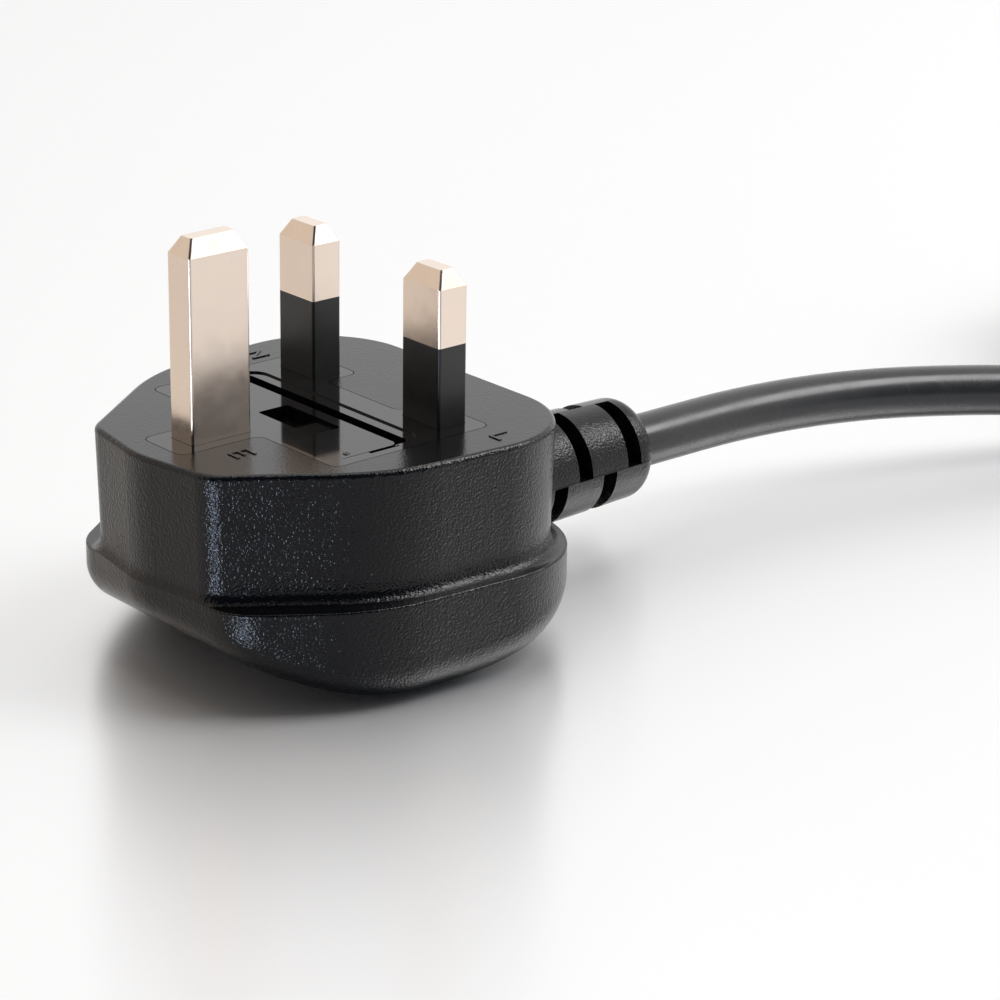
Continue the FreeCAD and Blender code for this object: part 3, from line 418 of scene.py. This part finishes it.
# finishes of one kind: a cloud for colour and gloss, and a fine bump given as scale, detail, strength, depth
plainFinishes = {
    "satinSheath": {
        "dark": (0.020, 0.0205, 0.0215), "light": (0.030, 0.0305, 0.032), "metallic": 0.0,
        "roughLow": 0.2, "roughHigh": 0.3, "cloudScale": 260, "bump": (2400, 3.0, 0.1, 0.00003),
        "nodes": [],
    },
    "glossBlackMoulding": {
        "dark": (0.0032, 0.0033, 0.0038), "light": (0.005, 0.005, 0.0058), "metallic": 0.0,
        "roughLow": 0.05, "roughHigh": 0.11, "cloudScale": 220, "bump": (2600, 2.0, 0.03, 0.00002),
        "nodes": ["pin_bridge", "fuse_carrier", "terminal_cover"],
    },
    "satinBlackSleeve": {
        "dark": (0.0075, 0.008, 0.009), "light": (0.012, 0.012, 0.013), "metallic": 0.0,
        "roughLow": 0.28, "roughHigh": 0.4, "cloudScale": 500, "bump": (3800, 2.0, 0.08, 0.00003),
        "nodes": ["line_pin_sleeve", "neutral_pin_sleeve"],
    },
    "bareBrass": {
        "dark": (0.55, 0.38, 0.14), "light": (0.66, 0.48, 0.2), "metallic": 1.0,
        "roughLow": 0.26, "roughHigh": 0.42, "cloudScale": 400, "bump": (3200, 2.0, 0.08, 0.00002),
        "nodes": ["line_fuse_clip", "line_terminal", "neutral_terminal", "earth_terminal"],
    },
    "glazedCeramic": {
        "dark": (0.74, 0.72, 0.66), "light": (0.82, 0.8, 0.75), "metallic": 0.0,
        "roughLow": 0.18, "roughHigh": 0.3, "cloudScale": 400, "bump": (3200, 2.0, 0.08, 0.00002),
        "nodes": ["fuse_tube"],
    },
    "brightCap": {
        "dark": (0.66, 0.65, 0.62), "light": (0.74, 0.73, 0.7), "metallic": 1.0,
        "roughLow": 0.16, "roughHigh": 0.3, "cloudScale": 400, "bump": (3200, 2.0, 0.08, 0.00002),
        "nodes": ["line_fuse_cap", "supply_fuse_cap"],
    },
    "brownCore": {
        "dark": (0.10, 0.035, 0.012), "light": (0.14, 0.05, 0.02), "metallic": 0.0,
        "roughLow": 0.28, "roughHigh": 0.4, "cloudScale": 400, "bump": (3200, 2.0, 0.08, 0.00002),
        "nodes": ["line_core", "line_end_core"],
    },
    "blueCore": {
        "dark": (0.01, 0.06, 0.28), "light": (0.015, 0.09, 0.38), "metallic": 0.0,
        "roughLow": 0.28, "roughHigh": 0.4, "cloudScale": 400, "bump": (3200, 2.0, 0.08, 0.00002),
        "nodes": ["neutral_core", "neutral_end_core"],
    },
}


def makePlainFinish(name, finish):
    material, tree, shader = startMaterial(name)
    space = objectSpace(tree)
    shader.inputs["Metallic"].default_value = finish["metallic"]
    cloudOver(tree, shader, noiseOn(tree, space, finish["cloudScale"], softDetail), finish)
    scale, detail, strength, depth = finish["bump"]
    tree.links.new(bumpFrom(tree, noiseOn(tree, space, scale, detail), strength, depth), shader.inputs["Normal"])
    return material


plainMaterials = {}
for finishName, plainFinish in plainFinishes.items():
    plainMaterials[finishName] = makePlainFinish(finishName, plainFinish)
    dress(plainFinish["nodes"], plainMaterials[finishName])
leadPiece.data.materials.append(plainMaterials["satinSheath"])
bodyMaterial = makeBodyFinish()
dress(["plug_body"], bodyMaterial)
dress(["line_pin", "neutral_pin", "earth_pin"], makePinFinish())
dress(["earth_core", "earth_end_core"], makeStripedCore())
dress(["line_ferrule", "neutral_ferrule", "earth_ferrule"], makeFerruleFinish())
dress(["near_cord_tie", "far_cord_tie"], makeTieFinish())
print("finishes made")


# raised pin letters on the face, as strokes in a small box of their own, in mm from the pins' middle
letters = {
    "height": 0.12,
    "sink": 0.05,
    "step": 0.004,  # each stroke is this much taller and deeper than the last, so no two faces coincide
    "stroke": 0.32,
    "taper": 0.9,
    "turn": -90,
    "marks": {
        "pinMarkE": {"place": (-23.4, -7.2), "size": (1.7, 2.2),
                     "strokes": [((0, 0), (0, 1)), ((0, 0), (1, 0)), ((0, 0.5), (0.8, 0.5)), ((0, 1), (1, 1))]},
        "pinMarkL": {"place": (2.2, -20.2), "size": (1.6, 2.2),
                     "strokes": [((0, 0), (0, 1)), ((0, 0), (1, 0))]},
        "pinMarkN": {"place": (-1.6, 19.2), "size": (1.7, 2.2),
                     "strokes": [((0, 0), (0, 1)), ((0, 1), (1, 0)), ((1, 0), (1, 1))]},
    },
}


def addStroke(mesh, start, end, width, low, high):
    along = (end - start).normalized()
    side = Vector((-along.y, along.x)) * width / 2
    along *= width / 2
    corners = [start - along - side, end + along - side, end + along + side, start - along + side]
    floor = [mesh.verts.new((c.x, c.y, low)) for c in corners]
    middle = sum(corners, Vector((0, 0))) / 4
    roof = [mesh.verts.new((*(middle + (c - middle) * letters["taper"]), high)) for c in corners]
    mesh.faces.new(roof)
    mesh.faces.new(list(reversed(floor)))
    for i in range(4):
        j = (i + 1) % 4
        mesh.faces.new((floor[i], floor[j], roof[j], roof[i]))


def makeLetters():
    turn = math.radians(letters["turn"])
    for name, mark in letters["marks"].items():
        mesh = bmesh.new()
        for index, stroke in enumerate(mark["strokes"]):
            ends = []
            for u, v in stroke:
                x, y = (u - 0.5) * mark["size"][0], (v - 0.5) * mark["size"][1]
                ends.append(Vector((mark["place"][0] + datumX + x * math.cos(turn) - y * math.sin(turn),
                                    mark["place"][1] + x * math.sin(turn) + y * math.cos(turn))) * mm)
            low = (faceHeight - letters["sink"] - letters["step"] * index) * mm
            high = (faceHeight + letters["height"] + letters["step"] * index) * mm
            addStroke(mesh, ends[0], ends[1], letters["stroke"] * mm, low, high)
        data = meshData(name, mesh)
        data.materials.append(bodyMaterial)
        linkPiece(name, data)


makeLetters()

# gate pip left by the moulding tool near one corner of the lid, as rings of radius and height
pip = {
    "place": (-14.3, -13.6, 26.3),
    "profile": [(0.46, -0.04), (0.42, 0.03), (0.34, 0.09), (0.24, 0.13), (0.18, 0.11), (0.1, 0.07)],
    "sides": 24,
}


def makePip():
    mesh = bmesh.new()
    sides = pip["sides"]
    middle = Vector(pip["place"]) + Vector((datumX, 0, 0))
    rings = []
    for radius, height in pip["profile"]:
        angles = [2 * math.pi * i / sides for i in range(sides)]
        offsets = [Vector((radius * math.cos(a), radius * math.sin(a), height)) for a in angles]
        rings.append([mesh.verts.new((middle + offset) * mm) for offset in offsets])
    for lower, upper in zip(rings, rings[1:]):
        for i in range(sides):
            j = (i + 1) % sides
            mesh.faces.new((lower[i], lower[j], upper[j], upper[i]))
    mesh.faces.new(rings[-1])
    mesh.faces.new(list(reversed(rings[0])))
    data = meshData("lidPip", mesh)
    for face in data.polygons:
        face.use_smooth = len(face.vertices) == 4  # the two end caps stay flat
    data.materials.append(plainMaterials["glossBlackMoulding"])
    linkPiece("lidPip", data, "carrier")


makePip()
print("letters and pip raised")

# table, world and lamps
studio = {
    "table": (0.90, 0.90, 0.905),
    "tableHalf": 3.0,
    "tableGrid": 8,
    "tableDrop": 0.0002,
    "sheen": (0.97, 0.97, 0.975),
    "shine": 0.62,
    "brushRough": 0.34,
    "brushStretch": 0.47,
    "brushTurn": -41.3,
    "roundLight": (1.09, 1.09, 1.09),
    "leftLight": (0.81, 0.725, 0.64),
    "leftTurn": 139,
    "leftFrom": 0.3,
    "leftFull": 0.8,
    "frontLight": (0.03, 0.038, 0.055),
    "frontTurn": 238,
    "frontFrom": 0.30,
    "frontFull": 0.65,
    "aim": (0, 0, 0.02),
    "lamps": {
        "lowBox": {"place": (-0.829, -0.422, -0.35), "size": (0.15, 0.36), "power": 3.0,
                   "colour": (0.66, 0.79, 1.0), "sparesTable": True},
        "rightBox": {"place": (0.555, -0.36, 0.755), "size": (0.38, 0.58), "power": 4.9,
                     "colour": (1.0, 1.0, 1.0), "sparesTable": False},
        "topBox": {"place": (0.10, 0.15, 0.95), "size": (0.5, 0.5), "power": 0.8,
                   "colour": (1.0, 1.0, 1.0), "sparesTable": False},
    },
}


def makeTable():
    mesh = bmesh.new()
    bmesh.ops.create_grid(mesh, x_segments=studio["tableGrid"], y_segments=studio["tableGrid"],
                          size=studio["tableHalf"])
    data = meshData("table", mesh)
    table = bpy.data.objects.new("table", data)
    scene.collection.objects.link(table)
    material = bpy.data.materials.new("paleTable")
    material.use_nodes = True
    tree = material.node_tree
    tree.nodes.clear()
    out = addNode(tree, "ShaderNodeOutputMaterial")
    matt = addNode(tree, "ShaderNodeBsdfDiffuse", Color=(*studio["table"], 1))
    # brushed sheet: what stands on it is smeared along one heading
    shine = addNode(tree, "ShaderNodeBsdfAnisotropic", Color=(*studio["sheen"], 1), Roughness=studio["brushRough"],
                    Anisotropy=studio["brushStretch"])
    a = math.radians(studio["brushTurn"])
    heading = addNode(tree, "ShaderNodeCombineXYZ", X=math.cos(a), Y=math.sin(a))
    tree.links.new(heading.outputs["Vector"], shine.inputs["Tangent"])
    mix = addNode(tree, "ShaderNodeMixShader", Fac=studio["shine"])
    tree.links.new(matt.outputs[0], mix.inputs[1])
    tree.links.new(shine.outputs[0], mix.inputs[2])
    tree.links.new(mix.outputs[0], out.inputs["Surface"])
    data.materials.append(material)
    table.location.z = -studio["tableDrop"]
    return table


def makeWorld():
    # white all round, warmer on the left, with the dark of the room in front
    world = bpy.data.worlds.new("studio")
    scene.world = world
    world.use_nodes = True
    tree = world.node_tree
    light = tree.nodes["Background"]
    place = addNode(tree, "ShaderNodeTexCoord")
    level = addNode(tree, "ShaderNodeVectorMath", operation="MULTIPLY")
    level.inputs[1].default_value = (1, 1, 0)
    tree.links.new(place.outputs["Generated"], level.inputs[0])
    compass = addNode(tree, "ShaderNodeVectorMath", operation="NORMALIZE")
    tree.links.new(level.outputs["Vector"], compass.inputs[0])

    def along(side):
        a = math.radians(studio[side + "Turn"])
        towards = addNode(tree, "ShaderNodeVectorMath", operation="DOT_PRODUCT")
        towards.inputs[1].default_value = (math.cos(a), math.sin(a), 0)
        tree.links.new(compass.outputs["Vector"], towards.inputs[0])
        return ranged(tree, towards.outputs["Value"], 0.0, 1.0, studio[side + "From"], studio[side + "Full"])

    sides = blendColours(tree, along("left"), studio["roundLight"], studio["leftLight"])
    tree.links.new(blendColours(tree, along("front"), sides, studio["frontLight"]), light.inputs["Color"])


def makeLamps(table):
    for name, lamp in studio["lamps"].items():
        data = bpy.data.lights.new(name, "AREA")
        data.shape = "RECTANGLE"
        data.size, data.size_y = lamp["size"]
        data.energy = lamp["power"]
        data.color = lamp["colour"]
        piece = bpy.data.objects.new(name, data)
        scene.collection.objects.link(piece)
        piece.location = lamp["place"]
        towards = Vector(studio["aim"]) - Vector(lamp["place"])
        piece.rotation_euler = towards.to_track_quat("-Z", "Y").to_euler()
        if lamp["sparesTable"]:
            # the table neither takes nor stops this lamp, so no glare lies on it
            spared = bpy.data.collections.new(name + "Spares")
            spared.objects.link(table)
            spared.collection_objects[0].light_linking.link_state = "EXCLUDE"
            piece.light_linking.receiver_collection = spared
            piece.light_linking.blocker_collection = spared


table = makeTable()
makeWorld()
makeLamps(table)
scene.view_settings.view_transform = "Standard"
print("studio lit")

bpy.context.view_layer.update()
